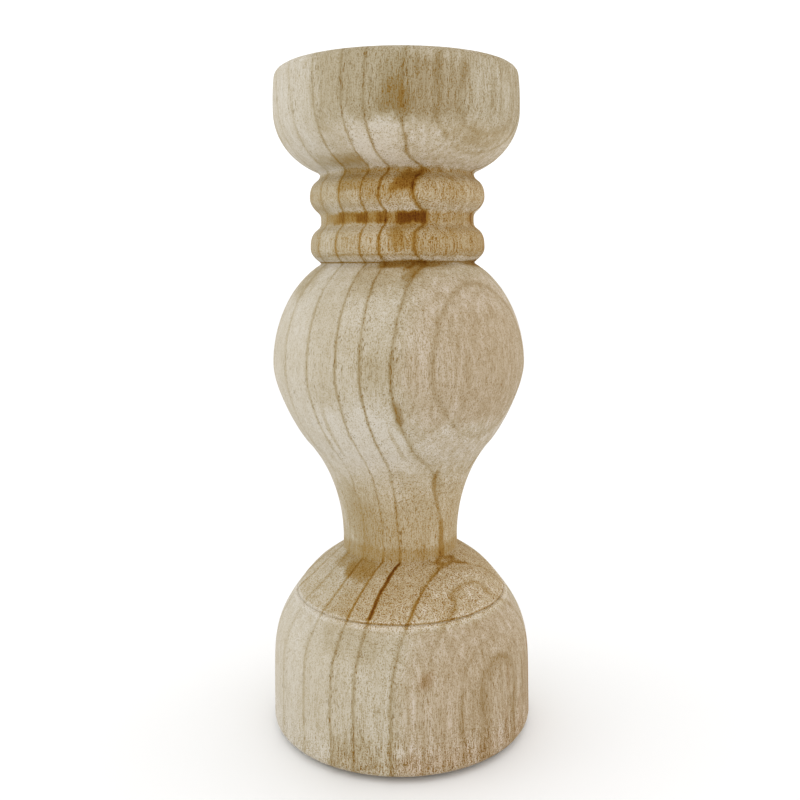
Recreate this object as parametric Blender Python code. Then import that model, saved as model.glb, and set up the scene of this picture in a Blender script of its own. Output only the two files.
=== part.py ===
"""A turned wooden pillar candle holder with a loose metal pan, a pricket and felt pads.

Metres, +Z up. The origin is on the axis, at the height of the table that the pads stand on.
"""

import math

import bmesh
import bpy
from mathutils import Vector

# Felt pads under the base
PAD_COUNT = 4
PAD_DIAMETER = 0.0160
PAD_THICKNESS = 0.0015
PAD_INSET = 0.0075
PAD_EDGE_ROUND = 0.0004

# Heights of the turned elements, stacked from the underside of the base to the rim
FOOT_ROUND = 0.0034
BASE_WALL_HEIGHT = 0.0214
LOWER_SHOULDER_HEIGHT = 0.0386
UPPER_SHOULDER_HEIGHT = 0.0188
STEM_HEIGHT = 0.0049
CAVETTO_HEIGHT = 0.0433
BULB_LOWER_HEIGHT = 0.0336
BULB_UPPER_HEIGHT = 0.0416
QUIRK_HEIGHT = 0.0006
LOWER_BEAD_RISE = 0.0059
LOWER_BEAD_FALL = 0.0078
GROOVE_FALL = 0.0028
GROOVE_RISE = 0.0041
UPPER_BEAD_RISE = 0.0062
UPPER_BEAD_FALL = 0.0065
NECK_COVE_FALL = 0.0028
NECK_COVE_RISE = 0.0012
CUP_UNDERSIDE_HEIGHT = 0.0235
CUP_WALL_HEIGHT = 0.0164

# Diameters of the turned elements
BASE_DIAMETER = 0.1158
BASE_WALL_TAPER = 0.0009
SCRIBED_LINE_DIAMETER = 0.0927
CORNER_DIAMETER = 0.0508
STEM_DIAMETER = 0.0505
CAVETTO_TOP_DIAMETER = 0.0793
BULB_DIAMETER = 0.1074
QUIRK_DIAMETER = 0.0650
QUIRK_LIP = 0.0004
LOWER_BEAD_DIAMETER = 0.0734
GROOVE_DIAMETER = 0.0642
UPPER_BEAD_DIAMETER = 0.0731
NECK_DIAMETER = 0.0641
BEAD_SHOULDER_RISE = 0.0017
CREASE_STEP = 0.0011
CUP_DIAMETER = 0.1013
CUP_RIM_TAPER = 0.0014
RIM_ROUND = 0.0034

# How far each curve leans out from straight up where two elements meet, in degrees
SCRIBED_LINE_LEAN = -37
CORNER_LEAN = -57
STEM_FOOT_LEAN = -2
INFLECTION_LEAN = 40
QUIRK_BULB_LEAN = -59
QUIRK_BEAD_LEAN = 48
BEAD_TOP_LEAN = -57
BEAD_FOOT_LEAN = 49
UNDERSIDE_LEAN = 68
RIM_LEAN = -7

# How full each curve is between its leans: 1 is about a circle's arc
LOWER_SHOULDER_FULLNESS = 1.26
UPPER_SHOULDER_FULLNESS = 1.4
BULB_LOWER_FULLNESS = 0.75
BEAD_FULLNESS = 1.1
CUP_FULLNESS = 1.12

# The fine line scribed round the shoulder of the base
SCRIBE_WIDTH = 0.0009
SCRIBE_DEPTH = 0.0005

# The recess in the cup and the marks that the lathe leaves
RIM_WALL = 0.0079
RIM_INNER_ROUND = 0.0010
RECESS_DEPTH = 0.0220
HEAD_POCKET_MARGIN = 0.0020
HEAD_POCKET_DEPTH = 0.0020
CENTRE_MARK_DIAMETER = 0.0060
CENTRE_MARK_DEPTH = 0.0026

# The pressed pan
PAN_SIDE_CLEARANCE = 0.0005
PAN_SHEET = 0.0008
PAN_HEIGHT = 0.0125
PAN_CORNER_ROUND = 0.0030
PAN_LIP_DIAMETER = 0.0016

# The pricket, a nail with its head under the pan
PRICKET_DIAMETER = 0.0036
PRICKET_LENGTH = 0.0195
PRICKET_TIP_LENGTH = 0.0150
PRICKET_TIP_DIAMETER = 0.0005
PRICKET_TIP_LEAN = -8
PRICKET_HEAD_DIAMETER = 0.0120
PRICKET_HEAD_THICKNESS = 0.0012
PRICKET_HOLE_CLEARANCE = 0.0003

# The gap that touching pieces keep
SEAT_GAP = 0.0003

# Facets round the axis
BODY_SEGMENTS = 60
PAN_SEGMENTS = 48
PRICKET_SEGMENTS = 20
PAD_SEGMENTS = 24
LONG_CURVE_STEPS = 9
BEAD_STEPS = 4
COVE_STEPS = 3
ROUND_STEPS = 4
LIP_STEPS = 5
SHARP_ANGLE = math.radians(32)

# Places that follow from the sizes
UNDERSIDE_Z = PAD_THICKNESS + SEAT_GAP
BODY_HEIGHT = sum((
    BASE_WALL_HEIGHT, LOWER_SHOULDER_HEIGHT, UPPER_SHOULDER_HEIGHT, STEM_HEIGHT, CAVETTO_HEIGHT,
    BULB_LOWER_HEIGHT, BULB_UPPER_HEIGHT, QUIRK_HEIGHT, LOWER_BEAD_RISE, LOWER_BEAD_FALL,
    GROOVE_FALL, GROOVE_RISE, UPPER_BEAD_RISE, UPPER_BEAD_FALL, NECK_COVE_FALL, NECK_COVE_RISE,
    CUP_UNDERSIDE_HEIGHT, CUP_WALL_HEIGHT,
))
RIM_RADIUS = (CUP_DIAMETER - CUP_RIM_TAPER) / 2
RECESS_RADIUS = RIM_RADIUS - RIM_WALL
RECESS_FLOOR_Z = UNDERSIDE_Z + BODY_HEIGHT - RECESS_DEPTH
PRICKET_HOLE_RADIUS = PRICKET_DIAMETER / 2 + PRICKET_HOLE_CLEARANCE
PAN_OUTER_RADIUS = RECESS_RADIUS - PAN_SIDE_CLEARANCE


def clear_scene():
    for obj in list(bpy.data.objects):
        bpy.data.objects.remove(obj, do_unlink=True)


def material(name, colour, roughness, metallic=0.0):
    """A Principled material of one plain colour."""
    made = bpy.data.materials.new(name)
    made.use_nodes = True
    shader = made.node_tree.nodes["Principled BSDF"]
    shader.inputs["Base Color"].default_value = (*colour, 1.0)
    shader.inputs["Roughness"].default_value = roughness
    shader.inputs["Metallic"].default_value = metallic
    return made


def direction(lean):
    """The unit vector (outwards, up) that leans this many degrees out from straight up."""
    return Vector((math.sin(math.radians(lean)), math.cos(math.radians(lean))))


class Pen:
    """Draws a turned outline as (radius, height) points, one element after another."""

    def __init__(self, radius, height):
        self.points = [Vector((radius, height))]

    def line(self, out, up):
        """A straight run, by how far it goes outwards and upwards."""
        self.points.append(self.points[-1] + Vector((out, up)))

    def sweep(self, lean, radius, rise, end_lean, steps, fullness=1.0):
        """A curve that leaves and arrives at the given leans, ending at a radius, this much higher."""
        start = self.points[-1]
        end = Vector((radius, start.y + rise))
        reach = (end - start).length * fullness / 3
        first = start + reach * direction(lean)
        second = end - reach * direction(end_lean)
        for step in range(1, steps + 1):
            t = step / steps
            s = 1 - t
            self.points.append(s**3 * start + 3 * s * s * t * first + 3 * s * t * t * second + t**3 * end)

    def corner(self, size, lean, end_lean, steps):
        """A quarter round of this radius that turns from one lean to the next."""
        start = self.points[-1]
        turn = 1 if end_lean > lean else -1
        centre = start + turn * size * direction(lean + 90)
        for step in range(1, steps + 1):
            at = lean + (end_lean - lean) * step / steps
            self.points.append(centre - turn * size * direction(at + 90))


def outside_of_body():
    """The outside of the turned body, from its foot round up to its rim, with the underside at height 0."""
    wall_lean = -math.degrees(math.atan2(BASE_WALL_TAPER / 2, BASE_WALL_HEIGHT - FOOT_ROUND))
    line_radius = SCRIBED_LINE_DIAMETER / 2
    slope = direction(SCRIBED_LINE_LEAN)
    across = direction(SCRIBED_LINE_LEAN - 90)
    pen = Pen(BASE_DIAMETER / 2 - FOOT_ROUND, 0)
    pen.corner(FOOT_ROUND, 90, 0, ROUND_STEPS)
    pen.line(-BASE_WALL_TAPER / 2, BASE_WALL_HEIGHT - FOOT_ROUND)
    start_of_line = slope * SCRIBE_WIDTH / 2
    pen.sweep(wall_lean, line_radius - start_of_line.x, LOWER_SHOULDER_HEIGHT - start_of_line.y,
              SCRIBED_LINE_LEAN, LONG_CURVE_STEPS, LOWER_SHOULDER_FULLNESS)
    pen.line(*(start_of_line + across * SCRIBE_DEPTH))
    pen.line(*(start_of_line - across * SCRIBE_DEPTH))
    pen.sweep(SCRIBED_LINE_LEAN, CORNER_DIAMETER / 2, UPPER_SHOULDER_HEIGHT - start_of_line.y,
              CORNER_LEAN, BEAD_STEPS + 1, UPPER_SHOULDER_FULLNESS)
    pen.sweep(STEM_FOOT_LEAN, STEM_DIAMETER / 2, STEM_HEIGHT, 0, 2)
    pen.sweep(0, CAVETTO_TOP_DIAMETER / 2, CAVETTO_HEIGHT, INFLECTION_LEAN, LONG_CURVE_STEPS)
    pen.sweep(INFLECTION_LEAN, BULB_DIAMETER / 2, BULB_LOWER_HEIGHT, 0,
              LONG_CURVE_STEPS - 2, BULB_LOWER_FULLNESS)
    pen.sweep(0, QUIRK_DIAMETER / 2 + QUIRK_LIP, BULB_UPPER_HEIGHT, QUIRK_BULB_LEAN, LONG_CURVE_STEPS)
    pen.line(-QUIRK_LIP, QUIRK_HEIGHT)
    pen.sweep(QUIRK_BEAD_LEAN, LOWER_BEAD_DIAMETER / 2, LOWER_BEAD_RISE, 0, COVE_STEPS, BEAD_FULLNESS)
    groove_shoulder = GROOVE_DIAMETER / 2 + BEAD_SHOULDER_RISE
    neck_shoulder = NECK_DIAMETER / 2 + BEAD_SHOULDER_RISE
    pen.sweep(0, groove_shoulder, LOWER_BEAD_FALL, BEAD_TOP_LEAN, BEAD_STEPS, BEAD_FULLNESS)
    pen.sweep(BEAD_TOP_LEAN, GROOVE_DIAMETER / 2, GROOVE_FALL, 0, COVE_STEPS, BEAD_FULLNESS)
    pen.sweep(0, groove_shoulder - BEAD_SHOULDER_RISE / 2, GROOVE_RISE, BEAD_FOOT_LEAN,
              COVE_STEPS, BEAD_FULLNESS)
    pen.sweep(BEAD_FOOT_LEAN, UPPER_BEAD_DIAMETER / 2, UPPER_BEAD_RISE, 0, BEAD_STEPS, BEAD_FULLNESS)
    pen.sweep(0, neck_shoulder, UPPER_BEAD_FALL, BEAD_TOP_LEAN, BEAD_STEPS, BEAD_FULLNESS)
    pen.sweep(BEAD_TOP_LEAN, NECK_DIAMETER / 2, NECK_COVE_FALL, 0, COVE_STEPS - 1, BEAD_FULLNESS)
    pen.line(CREASE_STEP, NECK_COVE_RISE)
    pen.sweep(UNDERSIDE_LEAN, CUP_DIAMETER / 2, CUP_UNDERSIDE_HEIGHT, 0, LONG_CURVE_STEPS, CUP_FULLNESS)
    pen.sweep(0, RIM_RADIUS, CUP_WALL_HEIGHT - RIM_ROUND, RIM_LEAN, COVE_STEPS)
    pen.corner(RIM_ROUND, RIM_LEAN, -90, ROUND_STEPS)
    return pen.points


def inside_of_body():
    """The recess and the pocket in its floor, from the axis out to the rim."""
    pocket_radius = PRICKET_HEAD_DIAMETER / 2 + HEAD_POCKET_MARGIN
    floor = BODY_HEIGHT - RECESS_DEPTH
    pen = Pen(0, floor - HEAD_POCKET_DEPTH)
    pen.line(pocket_radius, 0)
    pen.line(0, HEAD_POCKET_DEPTH)
    pen.line(RECESS_RADIUS - pocket_radius, 0)
    pen.line(0, RECESS_DEPTH - RIM_INNER_ROUND)
    pen.corner(RIM_INNER_ROUND, 0, 90, ROUND_STEPS - 1)
    return pen.points


def spun(name, outline, segments, finish, closed=False):
    """Turns an outline about the Z axis. An open outline starts and ends on the axis."""
    mesh = bpy.data.meshes.new(name)
    shape = bmesh.new()
    points = [shape.verts.new((point.x, 0, point.y)) for point in outline]
    pairs = list(zip(points, points[1:]))
    if closed:
        pairs.append((points[-1], points[0]))
    edges = [shape.edges.new(pair) for pair in pairs]
    bmesh.ops.spin(shape, geom=points + edges, cent=(0, 0, 0), axis=(0, 0, 1), dvec=(0, 0, 0),
                   angle=2 * math.pi, steps=segments, use_merge=True)
    bmesh.ops.remove_doubles(shape, verts=shape.verts, dist=1e-6)
    bmesh.ops.recalc_face_normals(shape, faces=shape.faces)
    shape.to_mesh(mesh)
    shape.free()
    mesh.shade_smooth()
    mesh.set_sharp_from_angle(angle=SHARP_ANGLE)
    mesh.materials.append(finish)
    obj = bpy.data.objects.new(name, mesh)
    bpy.context.scene.collection.objects.link(obj)
    return obj


def turned_body(finish):
    """The whole holder in one billet: recess, cup, beads, bulb, stem and base."""
    underside = Pen(0, CENTRE_MARK_DEPTH)
    underside.line(CENTRE_MARK_DIAMETER / 2, -CENTRE_MARK_DEPTH)
    outline = inside_of_body() + outside_of_body()[::-1] + underside.points[::-1]
    body = spun("turned_body", outline, BODY_SEGMENTS, finish)
    body.location.z = UNDERSIDE_Z
    return body


def sheet_outline(middle, thickness, lip_diameter):
    """The closed outline of a sheet that follows a middle line and ends in a rolled lip."""
    half = thickness / 2
    inner, outer = [], []
    for index, point in enumerate(middle):
        before = middle[max(index - 1, 0)]
        after = middle[min(index + 1, len(middle) - 1)]
        along = (after - before).normalized()
        side = Vector((along.y, -along.x)) * half
        outer.append(point + side)
        inner.append(point - side)
    lip = [middle[-1] + lip_diameter / 2 * direction(90 - 180 * step / LIP_STEPS)
           for step in range(LIP_STEPS + 1)]
    return outer + lip + inner[::-1]


def candle_pan(finish, carrier):
    """The pressed pan, with its own origin at the middle of its underside."""
    wall = PAN_OUTER_RADIUS - PAN_LIP_DIAMETER / 2
    pen = Pen(PRICKET_HOLE_RADIUS, PAN_SHEET / 2)
    pen.line(wall - PAN_CORNER_ROUND - PRICKET_HOLE_RADIUS, 0)
    pen.corner(PAN_CORNER_ROUND, 90, 0, ROUND_STEPS)
    pen.line(0, PAN_HEIGHT - PAN_LIP_DIAMETER / 2 - PAN_SHEET / 2 - PAN_CORNER_ROUND)
    outline = sheet_outline(pen.points, PAN_SHEET, PAN_LIP_DIAMETER)
    pan = spun("candle_pan", outline, PAN_SEGMENTS, finish, closed=True)
    pan.parent = carrier
    return pan


def candle_pricket(finish, carrier):
    """The nail that holds the candle: head below the pan, shank through its hole, long tapered point."""
    shank = PRICKET_LENGTH - PRICKET_TIP_LENGTH
    head_top = -SEAT_GAP
    pen = Pen(0, head_top - PRICKET_HEAD_THICKNESS)
    pen.line(PRICKET_HEAD_DIAMETER / 2 - PRICKET_HEAD_THICKNESS / 2, 0)
    pen.corner(PRICKET_HEAD_THICKNESS / 2, 90, -90, ROUND_STEPS)
    pen.line(PRICKET_DIAMETER / 2 - pen.points[-1].x, 0)
    pen.line(0, PAN_SHEET + SEAT_GAP + shank)
    pen.sweep(0, PRICKET_TIP_DIAMETER / 2, PRICKET_TIP_LENGTH, PRICKET_TIP_LEAN, ROUND_STEPS)
    pen.line(-PRICKET_TIP_DIAMETER / 2, PRICKET_TIP_DIAMETER / 2)
    pricket = spun("candle_pricket", pen.points[::-1], PRICKET_SEGMENTS, finish)
    pricket.parent = carrier
    return pricket


def felt_pads(finish):
    """The pads under the base, set in from its edge and spread evenly round it."""
    circle = BASE_DIAMETER / 2 - PAD_INSET - PAD_DIAMETER / 2
    pen = Pen(0, 0)
    pen.line(PAD_DIAMETER / 2 - PAD_EDGE_ROUND, 0)
    pen.line(PAD_EDGE_ROUND, PAD_EDGE_ROUND)
    pen.line(0, PAD_THICKNESS - PAD_EDGE_ROUND)
    pen.line(-PAD_DIAMETER / 2, 0)
    for number in range(PAD_COUNT):
        angle = 2 * math.pi * (number + 0.5) / PAD_COUNT
        pad = spun(f"felt_pad_{number + 1}", pen.points[::-1], PAD_SEGMENTS, finish)
        pad.location = (circle * math.cos(angle), circle * math.sin(angle), 0)


def build():
    clear_scene()
    wood = material("bare_wood", (0.55, 0.45, 0.30), 0.72)
    steel = material("pan_steel", (0.52, 0.52, 0.53), 0.34, metallic=1.0)
    felt = material("grey_felt", (0.16, 0.15, 0.14), 0.95)
    turned_body(wood)
    pan_seat = bpy.data.objects.new("pan_seat", None)
    bpy.context.scene.collection.objects.link(pan_seat)
    pan_seat.location = (0, 0, RECESS_FLOOR_Z + SEAT_GAP)
    candle_pan(steel, pan_seat)
    candle_pricket(steel, pan_seat)
    felt_pads(felt)


build()
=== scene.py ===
"""A turned wooden candle holder with its metal pan, its pricket, its felt pads and a plain studio.

The packed model is the frame: metres, +Z up, the origin on the axis at the height of the table. Each
operator makes one piece, or one group of like pieces, in its place. Run it as a script.
"""

import math

import bpy
import numpy as np
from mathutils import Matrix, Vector, noise


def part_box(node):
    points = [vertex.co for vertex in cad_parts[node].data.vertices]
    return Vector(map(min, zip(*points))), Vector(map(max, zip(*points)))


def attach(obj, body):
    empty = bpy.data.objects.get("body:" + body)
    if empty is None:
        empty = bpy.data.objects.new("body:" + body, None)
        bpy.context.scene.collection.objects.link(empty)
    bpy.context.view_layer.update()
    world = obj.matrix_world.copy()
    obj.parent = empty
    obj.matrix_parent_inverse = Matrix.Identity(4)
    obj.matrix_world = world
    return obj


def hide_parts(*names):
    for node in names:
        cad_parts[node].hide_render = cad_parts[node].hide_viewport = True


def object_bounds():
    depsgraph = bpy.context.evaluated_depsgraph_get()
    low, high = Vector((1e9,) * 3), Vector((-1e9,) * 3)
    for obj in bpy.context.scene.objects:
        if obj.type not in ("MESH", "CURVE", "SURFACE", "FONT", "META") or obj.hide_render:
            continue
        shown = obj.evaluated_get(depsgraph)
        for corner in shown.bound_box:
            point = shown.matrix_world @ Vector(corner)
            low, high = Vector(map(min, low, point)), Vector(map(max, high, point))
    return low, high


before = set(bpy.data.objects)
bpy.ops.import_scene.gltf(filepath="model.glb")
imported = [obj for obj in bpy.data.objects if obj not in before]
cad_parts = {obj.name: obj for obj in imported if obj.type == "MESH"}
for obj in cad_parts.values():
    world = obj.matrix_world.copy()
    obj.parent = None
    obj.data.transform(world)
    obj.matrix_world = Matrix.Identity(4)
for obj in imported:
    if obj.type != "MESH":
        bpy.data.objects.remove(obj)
CAD_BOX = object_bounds()

bl_info = {
    "name": "Turned candle holder",
    "version": (1, 0, 0),
    "blender": (4, 5, 0),
    "location": "3D View > Sidebar > Candle holder",
    "description": "Makes a turned wooden candle holder and the studio that it stands in",
    "category": "Add Mesh",
}

MM = 0.001
TURN = 2 * math.pi
WELD = MM / 500

# What the frame says: the wood stands this high above the table, and the pan on the floor of its recess
UNDERSIDE_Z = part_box("turned_body")[0].z
PAN_SEAT_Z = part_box("candle_pan")[0].z

# How far each curve of the wood leans out from straight up where two elements meet, in degrees
SCRIBED_LINE_LEAN = -37
CORNER_LEAN = -57
STEM_FOOT_LEAN = -2
INFLECTION_LEAN = 40
QUIRK_BULB_LEAN = -59
QUIRK_BEAD_LEAN = 48
BEAD_TOP_LEAN = -57
BEAD_FOOT_LEAN = 49
CUP_UNDERSIDE_LEAN = 68
RIM_LEAN = -7

# How full each curve is between its leans: 1 is about a circle's arc
LOWER_SHOULDER_FULLNESS = 1.26
UPPER_SHOULDER_FULLNESS = 1.4
BULB_LOWER_FULLNESS = 0.75
BEAD_FULLNESS = 1.1
CUP_FULLNESS = 1.12

# Where four growth lines lie across the billet, in millimetres. Each row has the height above the underside,
# then the left, middle, right and far line. The left line is layer 0 and the right line layer 1.
LINE_PLACES = (
    (0, 7.1, 17.7, 32.2, 43.6),
    (40, 6.9, 17.4, 32.3, 43.0),
    (60, 8.4, 17.7, 31.7, 42.8),
    (70, 10.0, 17.5, 31.2, 37.8),
    (76, 10.2, 17.0, 29.2, 36.6),
    (80, 10.3, 16.7, 25.2, 36.2),
    (90, 10.6, 16.6, 27.4, 36.0),
    (100, 11.0, 17.1, 28.6, 38.0),
    (110, 11.2, 18.3, 28.9, 41.0),
    (120, 12.0, 19.6, 31.0, 43.5),
    (130, 11.8, 20.6, 31.4, 44.3),
    (140, 10.8, 20.4, 31.2, 44.3),
    (185, 10.1, 19.5, 31.0, 42.7),
    (205, 10.0, 17.7, 28.7, 40.0),
    (225, 10.5, 17.7, 28.4, 39.5),
    (240, 11.7, 19.2, 28.1, 40.5),
    (250, 12.6, 20.7, 32.0, 41.5),
    (280, 13.3, 22.5, 34.6, 43.5),
)
LINE_PLACE_TOP = 50.0
MIDDLE_LAYER = 0.43
FAR_LAYER = 1.5

# Every growth line: its layer, how far it fades on each side, in layers, and its strength at full
GROWTH_LINES = (
    (-2.60, 0.07, 0.14),
    (-2.25, 0.08, 0.20),
    (-1.85, 0.08, 0.16),
    (-1.27, 0.10, 0.17),
    (-0.62, 0.075, 0.27),
    (0.00, 0.06, 0.42),
    (0.43, 0.065, 0.46),
    (1.01, 0.06, 0.39),
    (1.50, 0.065, 0.20),
    (1.76, 0.06, 0.08),
    (1.94, 0.06, 0.15),
    (2.09, 0.05, 0.34),
)

# Where the growth lines fade out: the height with its reach and soft edge, how far beside the middle of the
# growth side the fading starts and is full, in millimetres, and the part of the lines that it takes
FADED_LINES = ((70, 11, 4, 6, 13, 0.6), (104, 9, 5, -9, -5, 1.0))

# The tone of the wood by its growth layer, from the sapwood inwards: 0 is bare and 1 is deep. Then, by
# height in millimetres, the strengths of the growth lines and of the fine grain, and how amber the tone is.
# Where the fibres are cut across, the wood has drunk in more, is coarser and is warmer.
LAYER_TONES = ((-3.0, 0.0), (-1.2, 0.0), (-0.7, 0.04), (-0.3, 0.12), (0.2, 0.12), (0.6, 0.14), (0.9, 0.19),
               (1.2, 0.25), (1.6, 0.34), (1.9, 0.40), (2.6, 0.40))
LAYER_TONE_TOP = 0.6
LINE_STRENGTHS = ((0, 1.1), (57, 1.0), (61, 2.3), (78, 2.3), (81, 0.9), (120, 0.85), (135, 1.15), (201, 1.2),
                  (204, 2.1), (238, 2.2), (241, 1.6), (252, 1.5), (258, 0.9), (280, 0.9))
LINE_STRENGTH_TOP = 4.0
GRAIN_STRENGTHS = ((0, 0.90), (12, 0.60), (25, 0.34), (57, 0.34), (61, 0.85), (78, 0.80), (81, 0.45),
                   (105, 0.45), (125, 0.30), (150, 0.30), (170, 0.30), (201, 0.35), (204, 0.62), (238, 0.62),
                   (241, 0.28), (252, 0.28), (260, 0.36), (280, 0.36))
AMBER_SHARES = ((0, 0.50), (12, 0.20), (50, 0.15), (58, 0.5), (61, 0.90), (80, 0.9), (105, 0.75), (125, 0.4),
                (150, 0.15), (188, 0.25), (202, 0.8), (206, 0.9), (238, 0.95), (242, 0.8), (252, 0.5),
                (259, 0.05), (280, 0.0))

# The palest tone and the darkest mark that there may be, and the most that the fine grain lightens
PALEST_TONE = -0.16
DARKEST_MARK = 2.0
GRAIN_CAP = 0.38

# Between these heights, in millimetres, the foot's pores fade out upwards and the heartwood turns less rose
FOOT_HEIGHTS = (24.0, 5.0)
HEARTWOOD_HEIGHTS = (196.0, 204.0)

# Over this width, in millimetres, one side of the billet fades into the other
SIDE_EDGE = 8.0

# Parts with a tone of their own: the height with its reach and soft edge, the layer with its reach and soft
# edge, the side of the billet (-1 left, 1 right, 0 both) and the tone
# Some rows are painted shade in grooves and creases, and some painted light on faces that look down; each is
# noted above its row.
TONED_PARTS = (
    (54, 3, 7, 0.25, 0.45, 0.25, -1, 0.28),
    (7, 3, 11, 0.50, 0.45, 0.15, -1, 0.44),
    (3, 3, 7, 1.50, 0.60, 0.30, 0, 0.50),
    (40.5, 1, 4, 1.50, 0.03, 0.08, -1, 0.66),
    # Dark line in the scribed line, all round: partly dirt in the groove, partly painted shade on its upper
    # flank.
    (60.2, 0.15, 0.4, 1.40, 0.80, 0.90, 0, 0.90),
    (36, 10, 16, 0.70, 0.10, 0.40, 1, 0.34),
    (92, 9, 18, 0.10, 0.90, 1.60, 0, 0.40),
    (92, 9, 12, -0.55, 0.25, 0.40, -1, 0.50),
    # All-round dark band at the foot of the stem, over its crease with the dome: partly browning, partly
    # painted shade in the crease.
    (81.5, 1.5, 3.0, 0.10, 1.00, 1.50, 0, 0.68),
    (108, 8, 16, 0.10, 0.20, 0.40, 1, 0.42),
    (70, 8.5, 0.8, -1.80, 1.20, 0.40, 0, 0.26),
    (70, 8.5, 0.8, 0.60, 0.90, 0.40, 0, 0.50),
    (72, 4, 4, 0.85, 0.30, 0.20, 0, 0.62),
    # All-round dark band at the top of the dome, under its crease with the stem: partly browning, partly
    # painted shade in the crease.
    (77.5, 1, 2.5, 0.10, 1.40, 0.20, 0, 0.66),
    (76, 1.2, 3.2, -0.42, 0.30, 0.20, -1, 1.02),
    (70, 8, 1, 0.425, 0.018, 0.035, -1, 1.65),
    # Paler band on the bulb's lower half, which faces down: painted light from the pale floor below.
    (134, 8, 11, 0.10, 0.72, 0.20, -1, -0.08),
    (130, 6, 10, 1.30, 0.25, 0.12, 0, 0.13),
    (163, 2, 9, 0.95, 0.35, 0.40, -1, 0.34),
    (183, 2, 6, 0.40, 0.30, 0.20, -1, 0.06),
    (134, 3, 9, 0.80, 0.015, 0.04, -1, 0.22),
    (136, 4, 12, -0.42, 0.02, 0.05, -1, 0.17),
    (147, 3, 3, 1.03, 0.03, 0.05, -1, 0.62),
    (176, 12, 18, 0.20, 0.10, 0.40, 1, 0.30),
    (197, 2, 8, -1.45, 0.10, 0.40, -1, 0.36),
    (198, 2, 6, 0.60, 0.50, 0.25, 0, 0.36),
    (269, 11, 8, 1.10, 1.15, 0.90, 0, 0.40),
    (265, 6, 7, 1.25, 0.45, 0.20, -1, 0.62),
    (262, 2, 5, 0.98, 0.10, 0.24, -1, 0.98),
    (262, 14, 4, 2.15, 0.25, 0.12, 0, 0.26),
    (256, 5, 12, -0.50, 0.20, 0.50, 1, 0.32),
    # Paler band on the cup's underside, which faces down: painted light from the pale floor below.
    (247, 4, 6, 0.42, 0.40, 0.20, 0, -0.06),
    (244, 4, 6, 1.25, 0.25, 0.12, 0, 0.10),
    # Dark bands on the cup's underside just above the neck's crease: partly browning, partly painted shade
    # in the crease.
    (242, 0.4, 2.4, -0.60, 0.50, 0.30, 0, 0.30),
    (241.4, 0.4, 2.6, -0.36, 0.18, 0.35, -1, 0.66),
    (221.2, 16, 1.6, 0.65, 1.70, 0.20, 0, 0.38),
    (221.2, 16, 1.6, -2.30, 1.00, 0.30, 0, 0.40),
    (226, 2.5, 3.0, -0.95, 0.10, 0.25, 0, 0.26),
    (211, 4.0, 3.0, -0.95, 0.10, 0.25, 0, 0.24),
    (235, 3.5, 1.6, 0.30, 0.85, 0.40, 0, 0.76),
    (231, 2.0, 3.0, 0.60, 0.30, 0.30, 0, 0.66),
    (234, 2.5, 2.6, 0.85, 0.08, 0.16, -1, 1.65),
    (223.8, 0.3, 1.0, 0.00, 1.00, 0.10, 0, 0.20),
    (213, 3.5, 3.5, 0.80, 0.12, 0.22, -1, 1.10),
    (212, 5, 3.0, 1.55, 0.50, 0.30, 0, 0.58),
    (229, 3, 3.0, 1.65, 0.50, 0.30, 0, 0.50),
    (212, 5, 3.0, 1.20, 0.13, 0.10, 0, 0.74),
    # The next two rows darken the groove between the beads all round: partly dirt, partly painted shade.
    (220.4, 1.1, 1.8, 0.05, 1.20, 0.20, 0, 0.75),
    (220.4, 1.1, 1.8, 0.05, 0.90, 0.15, 0, 1.00),
    (220.4, 1.0, 1.8, -0.72, 0.02, 0.08, 0, 1.40),
    (220.4, 1.0, 1.8, -0.14, 0.07, 0.12, -1, 1.75),
    (220.4, 1.0, 1.8, 0.32, 0.04, 0.11, -1, 1.65),
    (220.4, 1.2, 2.0, 0.82, 0.12, 0.11, -1, 2.40),
    # The next three rows darken the quirk and the bead's foot above it all round: partly dirt, partly
    # painted shade.
    (206.2, 0.1, 0.5, 0.20, 0.90, 0.30, 0, 0.70),
    (204.6, 0.3, 0.6, 0.00, 1.60, 0.20, 0, 0.20),
    (203.2, 0.12, 0.35, 0.00, 2.20, 0.20, 0, 0.95),
    (202.4, 0.8, 1.0, 0.72, 0.34, 0.14, 0, 1.20),
    (202.0, 1.0, 1.4, 0.90, 0.06, 0.09, -1, 1.85),
    (199.5, 1.0, 3.0, 0.95, 0.04, 0.10, -1, 0.90),
)

# Between these heights the streaks drift this far to one side, all in millimetres
DRIFT_HEIGHTS = (90.0, 118.0)
DRIFT = 10.0

# Streaks that run up along the fibres: the height with its reach and soft edge, the place beside the middle
# of the growth side with its reach and soft edge, all in millimetres, 1 for the inner side, and the tone
STREAKS = (
    (20, 12, 14, 31.0, 1.5, 3.0, 1, 0.70),
    (26, 8, 10, 23.0, 0.8, 2.2, 1, 0.58),
    (12, 6, 9, 16.0, 0.6, 1.8, 1, 0.60),
    (33, 2, 6, 6.0, 0.5, 2.0, 1, 0.55),
    (10, 5, 8, 4.0, 0.4, 1.4, 1, 0.56),
    (101, 15, 9, -0.6, 0.3, 1.1, 1, 0.72),
    (88, 6, 3.5, -0.6, 0.6, 1.3, 1, 1.02),
)

# How each piece is spun from its outline: the distance between points, the steps round, and the angle below
# which its edges are smooth
WOOD_PITCH = 1.35 * MM
WOOD_STEPS = 280
WOOD_SMOOTH = math.radians(38)
PAN_PITCH = 1.6 * MM
PAN_STEPS = 224
LIP_STEPS = 14
NAIL_PITCH = 0.5 * MM
NAIL_STEPS = 64
METAL_SMOOTH = math.radians(40)

# The felt pads: the rings that their faces are divided into, and the round at their edge
PAD_SIDES = 72
PAD_RINGS = 7
PAD_RING_WIDTH = 1.0 * MM
PAD_EDGE = 0.3 * MM

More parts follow.
